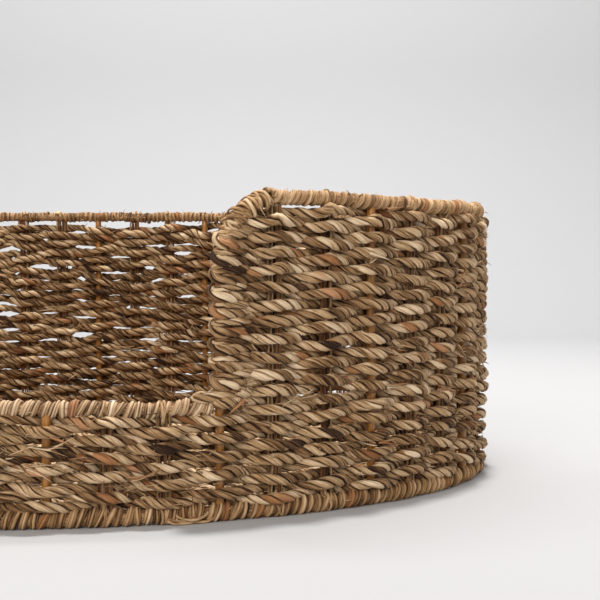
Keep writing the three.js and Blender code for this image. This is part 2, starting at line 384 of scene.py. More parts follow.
# ---- Materials
class Shading:
    """A new material, with short calls for the shader nodes that the looks below use."""

    def __init__(self, name):
        self.material = bpy.data.materials.new(name)
        self.material.use_nodes = True
        self.tree = self.material.node_tree
        self.shader = self.tree.nodes["Principled BSDF"]

    def feed(self, node, inputs):
        """Fills a node's sockets, each with a value or with another node's output."""
        for name, value in inputs.items():
            if isinstance(value, bpy.types.NodeSocket):
                self.tree.links.new(value, node.inputs[name])
            else:
                node.inputs[name].default_value = value
        return node

    def node(self, kind, inputs, **settings):
        """Adds a node, with its settings and with its sockets filled."""
        made = self.tree.nodes.new(kind)
        for key, value in settings.items():
            setattr(made, key, value)
        return self.feed(made, inputs)

    def mark(self, name, output="Fac"):
        """What Skin has marked each mesh point with."""
        return self.node("ShaderNodeAttribute", {}, attribute_name=name).outputs[output]

    def maths(self, operation, a, b):
        """A sum on two numbers or outputs."""
        return self.node("ShaderNodeMath", {0: a, 1: b}, operation=operation).outputs[0]

    def centred(self, value, weight):
        """A noise's value less its middle, times weight."""
        return self.maths("MULTIPLY", self.maths("SUBTRACT", value, 0.5), weight)

    def noise(self, across, along, detail):
        """Noise drawn out along the strand, from its scales across and along it, per millimetre."""
        scale = {"Vector": self.mark("grain", "Vector"), "Scale": (across, across, along)}
        where = self.node("ShaderNodeMapping", scale).outputs[0]
        inputs = {"Vector": where, "Scale": 1.0, "Detail": detail}
        return self.node("ShaderNodeTexNoise", inputs).outputs["Fac"]

    def ramp(self, level, colours):
        """The colour at level, between (position, colour) pairs."""
        made = self.node("ShaderNodeValToRGB", {"Fac": level})
        stops = made.color_ramp.elements
        for i, (position, colour) in enumerate(colours):
            stop = stops[i] if i < 2 else stops.new(position)
            stop.position = position
            stop.color = (*colour, 1)
        return made.outputs["Color"]

    def mix(self, factor, a, b):
        """Colour a at factor 0 and colour b at factor 1."""
        inputs = {"Factor": factor, "A": a, "B": b}
        return self.node("ShaderNodeMix", inputs, data_type="RGBA").outputs["Result"]

    def relief(self, height, strength, depth):
        """The surface's direction when height raises it by up to depth."""
        inputs = {"Height": height, "Strength": strength, "Distance": depth}
        return self.node("ShaderNodeBump", inputs).outputs["Normal"]


def seagrass(name, colours, grain=1.0):
    """Dry seagrass: fine streaks along each ply, lighter and darker runs, and rust-red stretches."""
    look = Shading(name)
    streak = look.noise(2.6 * grain, 0.10, 3.0)
    fine = look.noise(6.0 * grain, 0.35, 2.0)
    patch = look.noise(0.35, 0.12, 2.0)
    # The tone mark holds each strand's own lightness together with the painted shade set on its points.
    level = look.mark("tone")
    for texture, weight in ((streak, 1.1), (fine, 0.6), (patch, 0.5)):
        level = look.maths("ADD", level, look.centred(texture, weight))
    rust = look.mix(level, (*[0.45 * part for part in RUST], 1), (*RUST, 1))
    rusty = look.maths("MULTIPLY", look.mark("rust"), 0.75)
    height = look.maths("ADD", streak, look.maths("MULTIPLY", fine, 0.35))
    look.feed(look.shader, {
        "Base Color": look.mix(rusty, look.ramp(level, colours), rust),
        "Roughness": look.maths("ADD", look.centred(streak, -0.5), 0.72),
        "Normal": look.relief(height, 0.55, 0.0006),
        "Specular IOR Level": 0.25,
        "Sheen Weight": 0.04,
        "Sheen Roughness": 0.5,
    })
    return look.material


def rattan(name, dark, light, rough):
    """Peeled rattan: a smooth amber cane with faint lengthwise fibres."""
    look = Shading(name)
    fibres = look.noise(1.6, 0.05, 4.0)
    spread = {"Value": fibres, "To Min": rough - 0.08, "To Max": rough + 0.12}
    look.feed(look.shader, {
        "Base Color": look.ramp(fibres, [(0.3, dark), (0.7, light)]),
        "Roughness": look.node("ShaderNodeMapRange", spread).outputs["Result"],
        "Normal": look.relief(fibres, 0.25, 0.0003),
        "Coat Weight": 0.25,
        "Coat Roughness": 0.25,
    })
    return look.material


KHAKI = [(0.0, (0.026, 0.008, 0.002)), (0.28, (0.215, 0.106, 0.038)), (0.55, (0.472, 0.298, 0.147)),
         (1.0, (0.850, 0.655, 0.440))]
STRAW = [(0.0, (0.035, 0.012, 0.003)), (0.28, (0.255, 0.130, 0.048)), (0.55, (0.500, 0.300, 0.142)),
         (1.0, (0.830, 0.610, 0.380))]
PALE = [(0.0, (0.090, 0.040, 0.014)), (0.28, (0.400, 0.245, 0.125)), (0.6, (0.660, 0.465, 0.285)),
        (1.0, (0.900, 0.745, 0.550))]
BROWN = [(0.0, (0.030, 0.011, 0.003)), (0.30, (0.190, 0.092, 0.034)), (0.6, (0.400, 0.235, 0.110)),
         (1.0, (0.680, 0.480, 0.280))]
RUST = (0.48, 0.185, 0.060)

weave_look = seagrass("seagrass_cord", KHAKI)
binding_look = seagrass("seagrass_binding", STRAW, grain=1.3)
pale_look = seagrass("seagrass_pale_binding", PALE, grain=1.2)
warp_look = seagrass("seagrass_strand", BROWN, grain=1.5)
mat_look = seagrass("seagrass_mat", KHAKI)
post_look = rattan("amber_rattan", (0.24, 0.088, 0.013), (0.52, 0.225, 0.038), 0.28)
core_look = rattan("brown_rattan", (0.060, 0.028, 0.010), (0.130, 0.062, 0.024), 0.5)


# ---- Where the uprights stand
def warp_count(s):
    """How many upright spacings s lies past the right edge cane, growing by WARPS with each lap."""
    past = np.asarray(s, float) - EDGE
    laps = np.floor(past / PERIMETER)
    rest = past - laps * PERIMETER
    front = HIGH_SPACES + (rest - HIGH_WALL) / (2 * EDGE) * LOW_SPACES
    return laps * WARPS + np.where(rest < HIGH_WALL, rest / PITCH, front)


def upright_place(count):
    """The distance along the wall of the upright that stands count spacings past the right edge cane."""
    if count <= HIGH_SPACES:
        return EDGE + count * PITCH
    return EDGE + HIGH_WALL + (count - HIGH_SPACES) / LOW_SPACES * 2 * EDGE


SIDES = ((1, "right"), (-1, "left"))  # the cut-out's two sides


def edge_place(side):
    """The distance along the wall of the edge cane on that side of the cut-out."""
    return EDGE if side > 0 else PERIMETER - EDGE


def is_low(s):
    """Whether the wall is low at s."""
    return s < EDGE or s > PERIMETER - EDGE


def is_post(count):
    return count % POST_EVERY == 0


def in_cut_out(count):
    return count > HIGH_SPACES


UPRIGHTS = [upright_place(count) for count in range(WARPS)]
REACH = [(POST + CORD) / 2 if is_post(count) else SOFT_REACH for count in range(WARPS)]


def reach(s):
    """How far the weft stands off the wall's middle line where it passes an upright near s."""
    return np.interp(np.mod(warp_count(s), WARPS), range(WARPS + 1), REACH + REACH[:1])


# ---- The woven rows
LOW_WEAVE_TOP = LOW_Z - LOW_R - 0.0004
SEAM = -0.25 * PERIMETER  # where a lap of the lower weave ends and the next begins
CLIMB = 2 * PITCH  # the length over which a lap climbs to the next one's height


def slot_height(s):
    """How far the weave hangs below the top rim at s."""
    count = warp_count(s)
    space = np.floor(count)
    share = count - space
    back = smooth(np.abs(space + 0.5 - HIGH_SPACES / 2), 15, 11)
    near = np.minimum(space, HIGH_SPACES - 1 - space)
    corner = np.where((near >= 0) & (near < 4), 0.0048 - 0.0013 * near, 0.0)
    open_back = 0.0054 * back * (1.0 + 0.3 * np.sin(1.3 * count))
    return corner * (1 - np.abs(2 * share - 1) ** 4) + open_back


def row_height(row, s):
    """The middle height of a row: rows are counted from the bottom, lower ones first."""
    if row < LOWER_ROWS:
        return WEAVE_BOTTOM + (row + 0.5) / LOWER_ROWS * (LOW_WEAVE_TOP - WEAVE_BOTTOM) + 0 * s
    share = (row - LOWER_ROWS + 0.5) / UPPER_ROWS
    full = LOW_WEAVE_TOP + share * (RIM_Z - RIM_R + 0.0006 - LOW_WEAVE_TOP)
    return full - slot_height(s) * share ** 7


def make_slots():
    """Places where neighbouring rows gape: (s, height, half length, half gap)."""
    slots = []
    for _ in range(100):
        s = upright_place(rng.integers(9, 33) + 0.5 + rng.normal(0.0, 0.12))
        z = LOW_Z + (RIM_Z - LOW_Z) * rng.uniform(0.05, 0.95)
        slots.append((s, z, rng.uniform(0.006, 0.016), rng.uniform(0.0015, 0.0034)))
    for _ in range(110):
        s = rng.uniform(upright_place(19), upright_place(43))
        z = LOW_Z + (RIM_Z - LOW_Z) * rng.uniform(0.05, 0.95)
        slots.append((s, z, rng.uniform(0.002, 0.004), rng.uniform(0.0012, 0.0022)))
    for _ in range(16):
        s = upright_place(rng.integers(-9, 9) % WARPS + 0.5)
        z = rng.uniform(0.012, 0.18)
        slots.append((s, z, rng.uniform(0.003, 0.006), rng.uniform(0.0004, 0.0008)))
    return slots


SLOTS = make_slots()


def gape(s, z):
    """How far the slots near (s, z) push a row up or down."""
    moved = np.zeros(len(s))
    for s0, z0, half, gap in SLOTS:
        off = (np.asarray(s) - s0 + PERIMETER / 2) % PERIMETER - PERIMETER / 2
        near = np.exp(-(off / half) ** 4)
        away = z - z0
        moved += gap * near * np.sign(away) * np.exp(-np.abs(away) / 0.009)
    return moved


def row_line(row, s):
    """Out and height of a row along s, and its swing from behind (-1) to in front (1) of the uprights."""
    swing = -np.cos(math.pi * (warp_count(s) + row))
    ends = smooth(np.minimum(np.abs(s - s[0]), np.abs(s - s[-1])), 0.0, 0.04)
    z = row_height(row, s)
    loose = wander(0.030, 0.0007)(s) + wander(0.11, 0.0006)(s)
    z = z + gape(s, z) + loose * (0.3 + 0.7 * ends)
    plump = 1 + 0.12 * (2 * swing ** 2 - 1)
    return reach(s) * swing * plump + wander(0.05, 0.0005)(s) * ends, z, swing


def corner_set_back(z):
    """How far the rounded corner takes the wall's end back from the cut-out, at height z."""
    above = np.clip((z - CORNER_Z - 0.008) / (RIM_Z - CORNER_Z - 0.008), 0, 1)
    return CORNER_DEPTH * (1 - np.sqrt(np.clip(1 - above ** 2, 0, 1)))


def band_of(row):
    """The CAD band that a row belongs to."""
    if row < LOWER_ROWS:
        return f"lower_weave_{1 + row * 3 // LOWER_ROWS}"
    return f"upper_weave_{1 + (row - LOWER_ROWS) * 5 // UPPER_ROWS}"


def cord_size(s, swing):
    """The cord swells where it passes in front of or behind an upright."""
    return 0.87 + 0.19 * np.abs(swing) + wander(0.03, 0.03)(s)


def cord_tone(s):
    """How light a row's cord is along s: painted shade makes the wall's back and inside corners a little
    darker.
    """
    back = smooth(np.abs(warp_count(s) - HIGH_SPACES / 2), 14, 9)
    # Painted shade: the rows darken over the back of the wall.
    return rng.normal(0.52, 0.05) - 0.11 * back


def closed_row(row, skin, phase):
    """One lap of the lower weave, which climbs at its end to meet the next lap."""
    last = row == LOWER_ROWS - 1
    end = SEAM + PERIMETER - (CLIMB if last else 0)
    s = np.linspace(SEAM, end, int((end - SEAM) * ROW_SLACK / STEP))
    out, z, swing = row_line(row, s)
    rise = (LOW_WEAVE_TOP - WEAVE_BOTTOM) / LOWER_ROWS
    z = z + rise * smooth(s, SEAM + PERIMETER - CLIMB, SEAM + PERIMETER)
    look = seagrass_look(cord_tone(s))
    size = cord_size(s, swing)
    press = 0.10 * (1 - swing ** 2)
    return twisted_cord(skin, place(s, out, z), outward(s), size, look, phase, press)


def end_of(row, side):
    """Where the row's turn round the edge cane is centred: s and height at the side's end."""
    base = edge_place(side)
    z = row_height(row, np.array([base]))[0]
    return base + side * corner_set_back(z), z


def open_row(row, skin, phase):
    """A row of the high wall from one edge cane to the other, with the turn that leads into the next."""
    forward = (row - LOWER_ROWS) % 2 == 0
    first, last = (1, -1) if forward else (-1, 1)
    s0, _ = end_of(row, first)
    s1, _ = end_of(row, last)
    s = np.linspace(s0, s1, int(abs(s1 - s0) * ROW_SLACK / STEP))
    out, z, swing = row_line(row, s)
    size = cord_size(s, swing)
    press = 0.10 * (1 - swing ** 2)
    facing = outward(s)
    if row < LOWER_ROWS + UPPER_ROWS - 1:
        next_s, next_z = end_of(row + 1, last)
        bow = (POST + CORD) / 2 * 0.76 + rng.normal(0, 0.0009)
        t = np.linspace(0, math.pi, TURN_STEPS + 1)[1:]
        ease = (1 - np.cos(t)) / 2
        s = np.append(s, s1 + (next_s - s1) * ease - last * bow * np.sin(t))
        z = np.append(z, z[-1] + (next_z - z[-1]) * ease)
        out = np.append(out, out[-1] * np.cos(t))
        size = np.append(size, np.linspace(0.92, 0.80, TURN_STEPS))
        press = np.append(press, np.zeros(TURN_STEPS))
        tilt = np.append(np.zeros(len(facing)), t)[:, None]
        facing = outward(s)
        along_wall = unit(np.cross(UP, facing))
        facing = facing * np.cos(tilt) - last * along_wall * np.sin(tilt)
    look = seagrass_look(cord_tone(s))
    return twisted_cord(skin, place(s, out, z), facing, size, look, phase, press)


def weave_rows():
    """All the rows from the bottom up, as one cord whose twist carries on from row to row."""
    phase = 0.0
    for row in range(LOWER_ROWS + UPPER_ROWS):
        skin = Skin()
        make = closed_row if row < LOWER_ROWS else open_row
        phase = make(row, skin, phase)
        skin.piece(f"weft_row_{row + 1:02d}", weave_look, "seagrass_weave", [band_of(row)])


# ---- Uprights
def cane(name, line, facing, radius, material, slot, nodes, sides=16):
    """A round cane that swells a little along its length."""
    skin = Skin()
    length = lengths_of(line)
    swell = 1 + 0.03 * np.sin(length / 0.021 + rng.uniform(0, 6))
    strand(skin, line, facing, radius * swell, radius * swell, 0.5, 0.0, sides)
    skin.piece(name, material, slot, nodes)


def posts():
    """The rattan uprights, numbered as in the CAD; the two at the cut-out are the edge canes."""
    count_of_posts = WARPS // POST_EVERY
    for count, s in enumerate(UPRIGHTS):
        if not is_post(count) or count in (0, HIGH_SPACES):
            continue
        number = (count // POST_EVERY + 1) % count_of_posts + 1
        z = np.linspace(HOOP_Z, LOW_Z if in_cut_out(count) else RIM_Z, 24)
        at = np.full(len(z), s)
        line = place(at, wander(0.1, 0.0003, 0.3)(z), z)
        cane(f"rattan_post_{number:02d}", line, outward(at), POST / 2, post_look, "rattan_post",
             [f"post_{number:02d}"])


def edge_canes():
    """The two canes at the cut-out, which lean back with the rounded corners."""
    for side, name in SIDES:
        z = np.concatenate([np.linspace(HOOP_Z, CORNER_Z, 20), np.linspace(CORNER_Z, RIM_Z, 24)[1:]])
        s = edge_place(side) + side * corner_set_back(z)
        cane(f"rattan_edge_{name}", place(s, 0, z), outward(s), POST / 2, post_look, "rattan_post",
             [f"edge_cane_{name}"])


def soft_warps():
    """Bundles of thin strand between the posts, in four pieces round the wall."""
    quarters = {name: Skin() for name in ("front", "right", "back", "left")}
    names = list(quarters)
    for count, s in enumerate(UPRIGHTS):
        if is_post(count):
            continue
        top = LOW_Z if in_cut_out(count) else RIM_Z
        z = np.linspace(HOOP_Z, top, int((top - HOOP_Z) / 0.005))
        skin = quarters[names[int((s / PERIMETER + 0.125) * 4) % 4]]
        for k in range(SOFT_STRANDS):
            shift = (k - SOFT_STRANDS // 2) * 0.0010 + rng.normal(0, 0.0003)
            at = s + shift + wander(0.03, 0.0004, 0.3)(z)
            out = rng.normal(0, 0.0006) + wander(0.03, 0.0004, 0.3)(z)
            strand(skin, place(at, out, z), outward(at), rng.uniform(0.0006, 0.0009),
                   rng.uniform(0.0005, 0.0008), rng.normal(0.36, 0.24), chance(0.16))
    for name, skin in quarters.items():
        skin.piece(f"soft_warps_{name}", warp_look, "seagrass_weave")


# ---- Bound rims
def bind(skin, s0, s1, z, outer, pitch, tilt, tone, blades=4, plump=0.85):
    """Strand of a few blades wound round a rim's cane from s0 to s1, each turn a little different.

    outer is the wrap's radius, and pitch a turn's width. tilt leans the turns, and plump rounds them and
    deepens the painted shade on each turn's outer blades.
    """
    per_turn = 16
    distance = abs(s1 - s0)
    span = distance + 0.05
    turns = distance / pitch
    psi = np.linspace(0, turns * math.tau, int(turns * per_turn))
    even = psi / math.tau * pitch

    def each_turn(size):
        """A number that keeps its own value over the outside of each turn and changes behind it."""
        values = rng.normal(0, size, int(turns) + 3)
        at = psi / math.tau + 0.25
        whole = np.floor(at).astype(int)
        change = smooth(at - whole, 0.6, 1.0)
        return values[whole] * (1 - change) + values[whole + 1] * change

    middle = s0 + even + each_turn(0.10 * pitch)
    lean = tilt + each_turn(0.17)
    lump = 1 + each_turn(0.09) + wander(1.5 * pitch, 0.04, span)(even)
    middle_out = wander(0.03, 0.0004, span)(even)
    middle_z = z + wander(0.03, 0.0004, span)(even)
    band_tone = tone + each_turn(0.09) + wander(0.03, 0.05, span)(even)
    red = smooth(each_turn(1.0), 1.7, 1.8)
    width = pitch / blades
    core = CANE / 2
    half = (outer - core) / 2
    for blade in range(blades):
        off_middle = (blade - (blades - 1) / 2) / (blades / 2)
        aside = off_middle * 0.5 * BLADE_SPREAD * pitch + each_turn(0.12 * width)
        crown = plump * half * (1 - off_middle ** 2)
        under = (core + (1.0 - 0.45 * plump) * half) * lump
        radius = under * (1 + wander(0.010, 0.05, span)(even)) + crown
        s = middle + aside + lean * radius * np.sin(psi)
        height = np.maximum(middle_z + radius * np.sin(psi), 0.0011)
        line = place(s, middle_out + radius * np.cos(psi), height)
        facing = outward(s) * np.cos(psi)[:, None] + UP * np.sin(psi)[:, None]
        wide = 0.5 * width * (1.10 + wander(0.008, 0.20, span)(even))
        # Painted shade: the blades at each turn's two sides are darker, the more so the plumper the turn,
        # so dark lines lie between the turns.
        shade = band_tone + rng.normal(0, 0.05) + each_turn(0.07) - 0.40 * plump * off_middle ** 2
        strand(skin, line, facing, 0.45 * half + 0.3 * width, wide, shade, red)


def rims():
    """The wound strand and the canes inside it: top rim, bottom hoop and low front rim."""
    start = EDGE + RIM_START
    end = PERIMETER - start
    third = (end - start) / 3
    for i, name in enumerate(("right", "back", "left")):
        skin = Skin()
        begin = start + i * third
        # Painted shade: the back third of the top rim takes a darker tone than the two sides.
        outer, tone = (RIM_R * 0.98, 0.46) if name == "back" else (RIM_R * 1.06, 0.64)
        bind(skin, begin, begin + third, RIM_Z, outer, RIM_STRAND, 0.30, tone)
        skin.piece(f"rim_wrap_{name}", binding_look, "seagrass_binding", [f"rim_binding_{name}"])
    quarter = PERIMETER / 4
    for i, name in enumerate(("front", "right", "back", "left")):
        skin = Skin()
        begin = (i - 0.5) * quarter
        bind(skin, begin, begin + quarter, HOOP_Z + 0.0005, HOOP_R * 1.08, WIDE_STRAND, 0.14, 0.54,
             blades=3, plump=1.5)
        skin.piece(f"hoop_wrap_{name}", binding_look, "seagrass_binding", [f"bottom_binding_{name}"])
    low_end = EDGE - LOW_RIM_GAP
    skin = Skin()
    bind(skin, -low_end, low_end, LOW_Z, LOW_R * 1.10, WIDE_STRAND, 0.24, 0.555, blades=3, plump=1.5)
    skin.piece("low_rim_wrap", pale_look, "seagrass_binding_pale", ["low_rim_binding"])

    def level(s0, s1, z):
        s = np.linspace(s0, s1, int(abs(s1 - s0) / 0.006))
        return place(s, 0, z), outward(s)

    cane("rim_cane", *level(start, end, RIM_Z), RIM_R * 0.80, warp_look, "rattan_core", ["rim_core"], 10)
    hoop_end = PERIMETER / 2 - 0.0005
    cane("hoop_cane", *level(-hoop_end, hoop_end, HOOP_Z), HOOP_R * 0.84, warp_look, "rattan_core",
         ["bottom_hoop_core"], 10)
    cane("low_rim_cane", *level(-low_end, low_end, LOW_Z), LOW_R * 0.82, warp_look, "rattan_core",
         ["low_rim_core"], 10)


def edge_turns():
    """Shorter turns of cord that fill the gaps between the rows' own turns round each edge cane."""
    for side, name in SIDES:
        skin = Skin()
        for row in range(LOWER_ROWS + 1, LOWER_ROWS + UPPER_ROWS - 3):
            base, z = end_of(row, side)
            swing = -math.cos(math.pi * (warp_count(np.array([base]))[0] + row))
            first = row == LOWER_ROWS + 1
            if swing > 0 and not first:
                continue
            theta = np.linspace(-0.1, 1.4, 26) * math.pi
            z = z + (0.0045 if first else 0.0)
            bow = 0.0145 if first else (POST + CORD) / 2 * 0.66 + rng.normal(0, 0.0006)
            inner = 0.013 + rng.uniform(0, 0.006)
            away = np.where(np.cos(theta) > 0, inner, bow) * np.cos(theta)
            out = reach(base + 0 * theta) * rng.uniform(0.86, 0.98) * np.sin(theta)
            height = z + rng.normal(0, 0.0005) + 0.0016 * np.cos(theta)
            s = base + side * away
            facing = unit(place(s, 1.6 * out, height) - place(base + 0 * s, 0, height))
            size = np.full(len(s), 0.90 if first else rng.uniform(0.70, 0.80))
            look = seagrass_look(0.66 if first else rng.normal(0.5, 0.08))
            twisted_cord(skin, place(s, out, height), facing, size, look, rng.uniform(0, math.tau))
        skin.piece(f"edge_turns_{name}", weave_look, "seagrass_weave")


def corner_bindings():
    """Broad loops of strand wound over the cane on each rounded corner."""
    for side, name in SIDES:
        skin = Skin()
        rise = np.linspace(CORNER_Z + 0.004, RIM_Z, 80)
        s = edge_place(side) + side * corner_set_back(rise)
        path = place(s, 0, rise)
        length = lengths_of(path)
        turn_length = 0.0088
        turns = length[-1] / turn_length
        psi = np.linspace(0, turns * math.tau, int(turns * 22))
        at = psi / psi[-1] * length[-1]
        ring = psi / math.tau * 0.02

        def along_path(distance):
            return np.stack([np.interp(distance, length, path[:, i]) for i in range(3)], 1)

        along = unit(np.gradient(along_path(at), axis=0))
        for blade in range(8):
            aside = (blade - 3.5) * 0.0010 + wander(0.012, 0.0018, 0.8)(ring)
            moved = np.clip(at + aside, 0, length[-1])
            out = outward(np.interp(moved, length, s))
            up = unit(np.cross(along, out))
            radius = POST / 2 + 0.0014 + np.abs(wander(0.014, 0.0014, 0.8)(ring))
            spoke = out * np.cos(psi)[:, None] + up * np.sin(psi)[:, None]
            line = along_path(moved) + radius[:, None] * spoke
            shade = 0.5 + rng.normal(0, 0.12) + wander(0.01, 0.14, 0.8)(ring)
            strand(skin, line, spoke, 0.0007, 0.0012, shade, 0.0)
        skin.piece(f"corner_wrap_{name}", binding_look, "seagrass_binding", [f"corner_binding_{name}"])


def tie(skin, s, z, radius, first, last, tail):
    """Strands over a rim at an upright, from angle first to last round it, then a straight tail."""
    turn = np.linspace(first, last, 16)
    for _ in range(rng.integers(1, 4)):
        distance = radius * rng.uniform(1.04, 1.14)
        out = distance * np.cos(turn)
        height = np.maximum(z + distance * np.sin(turn), 0.0009)
        out = np.append(out, [0.6 * out[-1], 0.0015])
        height = np.append(height, [height[-1] + 0.5 * tail, height[-1] + tail])
        across = np.linspace(-1, 1, len(out))
        at = s + rng.normal(0, 0.0022) + rng.normal(0, 0.0018) * across
        at = at + rng.normal(0, 0.0012) * across ** 2
        line = place(at, out, height)
        strand(skin, line, unit(line - place(s, 0, z)), 0.0007, rng.uniform(0.0008, 0.0013),
               rng.normal(0.62, 0.12), 0.0, twist=0.03)


def ties():
    """The soft uprights' own strands where they pass over the hoop and the rims."""
    skin = Skin()
    for count, s in enumerate(UPRIGHTS):
        if is_post(count):
            continue
        tie(skin, s, HOOP_Z, HOOP_R * 0.97, -1.2, 1.3, 0.006)
        if in_cut_out(count):
            tie(skin, s, LOW_Z, LOW_R, 2.6, -0.9, -0.006)
        elif 1 < count < HIGH_SPACES - 1:
            tie(skin, s, RIM_Z, RIM_R, 2.6, -0.9, -0.006)
    skin.piece("upright_ties", binding_look, "seagrass_binding")


# ---- Loose ends
def fibre(skin, start, heading, bend, length, width, tone, rust):
    """A thin tapering blade from start along heading, curving towards bend."""
    t = np.linspace(0, 1, 7)
    line = start + length * (np.outer(t, heading) + np.outer(t ** 2, bend))
    facing = unit(np.cross(np.gradient(line, axis=0), (0.1, 0.2, 1.0)))
    taper = 1 - 0.85 * t ** 1.5
    strand(skin, line, facing, 0.35 * width * taper, 0.5 * width * taper, tone, rust, 4)


def basis(s):
    """Along the wall, outwards and up at s."""
    out = outward(np.array([s]))[0]
    return np.cross(UP, out), out, UP


def wall_side(s, side):
    """How far the outside (side 1) or the inside (side -1) of the weave stands off at s."""
    return side * (reach(s) + 0.45 * CORD)


def stray_fibres():
    """Short ends that stand out of the cords all over."""
    skin = Skin()
    for _ in range(STRAY_FIBRES):
        s = rng.uniform(0, PERIMETER)
        low = is_low(s)
        z = rng.uniform(WEAVE_BOTTOM, LOW_Z if low else RIM_Z)
        side = 1 if rng.random() < 0.65 else -1
        if not low and corner_set_back(z) > min(abs(s - EDGE), abs(PERIMETER - EDGE - s)):
            continue
        along, out, up = basis(s)
        start = place(s, wall_side(s, side) * rng.uniform(0.6, 0.95), z)
        sideways = along * rng.normal(0, 1.0) + side * out * rng.uniform(0.15, 0.9)
        heading = unit(sideways + up * rng.normal(0, 0.45))
        bend = along * rng.normal(0, 0.25) + up * rng.normal(-0.1, 0.25)
        red = chance(0.25)
        fibre(skin, start, heading, bend, rng.uniform(0.002, 0.0085), rng.uniform(0.0005, 0.0012),
              rng.normal(0.55, 0.2), red)
    skin.piece("stray_fibres", weave_look, "seagrass_weave")


def rim_fibres():
    """The tips of the binding strands that stand out of the rims."""
    skin = Skin()
    rim_start = EDGE + TIP_START
    bound = [
        (rim_start, PERIMETER - EDGE - TIP_START, RIM_Z, RIM_R, 520),
        (-EDGE, EDGE, LOW_Z, LOW_R, 60),
        (0, PERIMETER, HOOP_Z, HOOP_R, 160),
    ]
    for s0, s1, z, radius, count in bound:
        for _ in range(count):
            s = rng.uniform(s0, s1)
            angle = rng.uniform(-0.6, math.pi + 0.6)
            if z == HOOP_Z:
                angle = rng.uniform(-0.3, 0.9)
            along, out, up = basis(s)
            spoke = out * math.cos(angle) + up * math.sin(angle)
            start = place(s, 0, z) + spoke * radius * 0.8
            heading = unit(spoke * rng.uniform(0.25, 0.8) + along * rng.normal(0, 0.9))
            bend = up * rng.normal(0, 0.2) + along * rng.normal(0, 0.3)
            fibre(skin, start, heading, bend, rng.uniform(0.002, 0.0048), rng.uniform(0.0006, 0.0013),
                  rng.normal(0.6, 0.22), chance(0.10))
    skin.piece("rim_fibres", binding_look, "seagrass_binding")


def cut_cord_ends():
    """Cut ends of the weft cord that stick out of the wall, with their blades splayed."""
    skin = Skin()
    places = [(EDGE + 0.012, LOW_Z + 0.002), (EDGE + 0.016, 0.083), (EDGE + 0.100, 0.156),
              (EDGE + 0.196, 0.095)]
    for _ in range(CUT_ENDS):
        s = rng.uniform(EDGE, PERIMETER - EDGE)
        places.append((s, rng.uniform(0.03, 0.18)))
    for s, z in places:
        along, out, up = basis(s)
        centre = place(s, wall_side(s, 1) * 0.9, z)
        lean = unit(out + along * rng.normal(0, 0.35) + up * rng.normal(0, 0.25))
        first = unit(np.cross(lean, up))
        second = np.cross(lean, first)
        for k in range(CUT_END_BLADES):
            angle = math.tau * (k + rng.uniform(-0.3, 0.3)) / CUT_END_BLADES
            ring = first * math.cos(angle) + second * math.sin(angle)
            start = centre + ring * rng.uniform(0.0006, 0.0018) - lean * 0.003
            heading = unit(lean * rng.uniform(0.9, 1.3) + ring * rng.uniform(0.3, 0.9))
            length, width = rng.uniform(0.004, 0.0062), rng.uniform(0.0009, 0.0014)
            tone, red = rng.normal(0.55, 0.2), chance(0.1)
            fibre(skin, start, heading, ring * 0.3, length, width, tone, red)
    skin.piece("cut_cord_ends", weave_look, "seagrass_weave")


def splices():
    """Where a new length of cord begins: blades that lie loosely along and across the rows."""
    skin = Skin()
    for _ in range(SPLICES):
        s = rng.uniform(0, PERIMETER)
        z = rng.uniform(0.02, 0.055 if is_low(s) else 0.175)
        side = 1 if rng.random() < 0.7 else -1
        along, out, up = basis(s)
        for _ in range(rng.integers(4, 9)):
            start = place(s + rng.normal(0, 0.003), wall_side(s, side) * 0.9, z + rng.normal(0, 0.0018))
            way = 1 if rng.random() < 0.75 else -1
            heading = unit(along * way + side * out * rng.uniform(0.05, 0.30) + up * rng.normal(0, 0.16))
            bend = -side * out * rng.uniform(0.0, 0.15) + up * rng.normal(0, 0.15)
            fibre(skin, start, heading, bend, rng.uniform(0.008, 0.020), rng.uniform(0.0008, 0.0016),
                  rng.normal(0.62, 0.2), chance(0.2))
    for _ in range(LOOSE_BLADES):
        s = rng.uniform(0, PERIMETER)
        z = rng.uniform(0.025, 0.055 if is_low(s) else 0.170)
        along, out, up = basis(s)
        start = place(s, wall_side(s, 1) + 0.0004, z)
        heading = unit(along * rng.choice([-1, 1]) + up * rng.uniform(-0.9, 0.5) + out * 0.05)
        fibre(skin, start, heading, -out * 0.04, rng.uniform(0.010, 0.018), rng.uniform(0.0018, 0.0028),
              rng.normal(0.6, 0.15), chance(0.35))
    skin.piece("loose_splices", weave_look, "seagrass_weave")


def slipped_strand():
    """The loops of binding strand that have slipped and hang to the floor in front of the hoop."""
    skin = Skin()
    share = np.linspace(0, 1, 40)
    for _ in range(SLIPPED_LOOPS):
        start = EDGE - 0.036 + rng.uniform(0, 0.012)
        s = start + share * rng.uniform(0.014, 0.022)
        sag = np.sin(math.pi * share) ** 0.6
        z = HOOP_Z + rng.normal(0, 0.0008) - (HOOP_Z - 0.0012) * sag
        out = HOOP_R * 0.85 + rng.uniform(0.0005, 0.0022) * sag
        line = place(s, out, np.maximum(z, 0.0010))
        strand(skin, line, outward(s), 0.0007, 0.0010, rng.normal(0.5, 0.12), 0.0, twist=0.03)
    skin.piece("slipped_strand", binding_look, "seagrass_binding")


# ---- Base
BASE_CANES = [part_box(f"base_cane_{i}") for i in range(1, 6)]
BASE_CANE_X = [(low.x + high.x) / 2 for low, high in BASE_CANES]
BASE_SPACING = (BASE_CANE_X[1] - BASE_CANE_X[0]) / 3  # two bundles of strand stand between two canes
BASE_STRIPS = 5
ROWS_PER_STRIP = 18
BASE_SWING = 0.0041  # how far a row of the base goes above and below the canes' middle


def half_chord(at, half, across):
    """Half the length of the base's oval at a distance from its middle."""
    return across * math.sqrt(max(0.02, 1 - (at / half) ** 2))


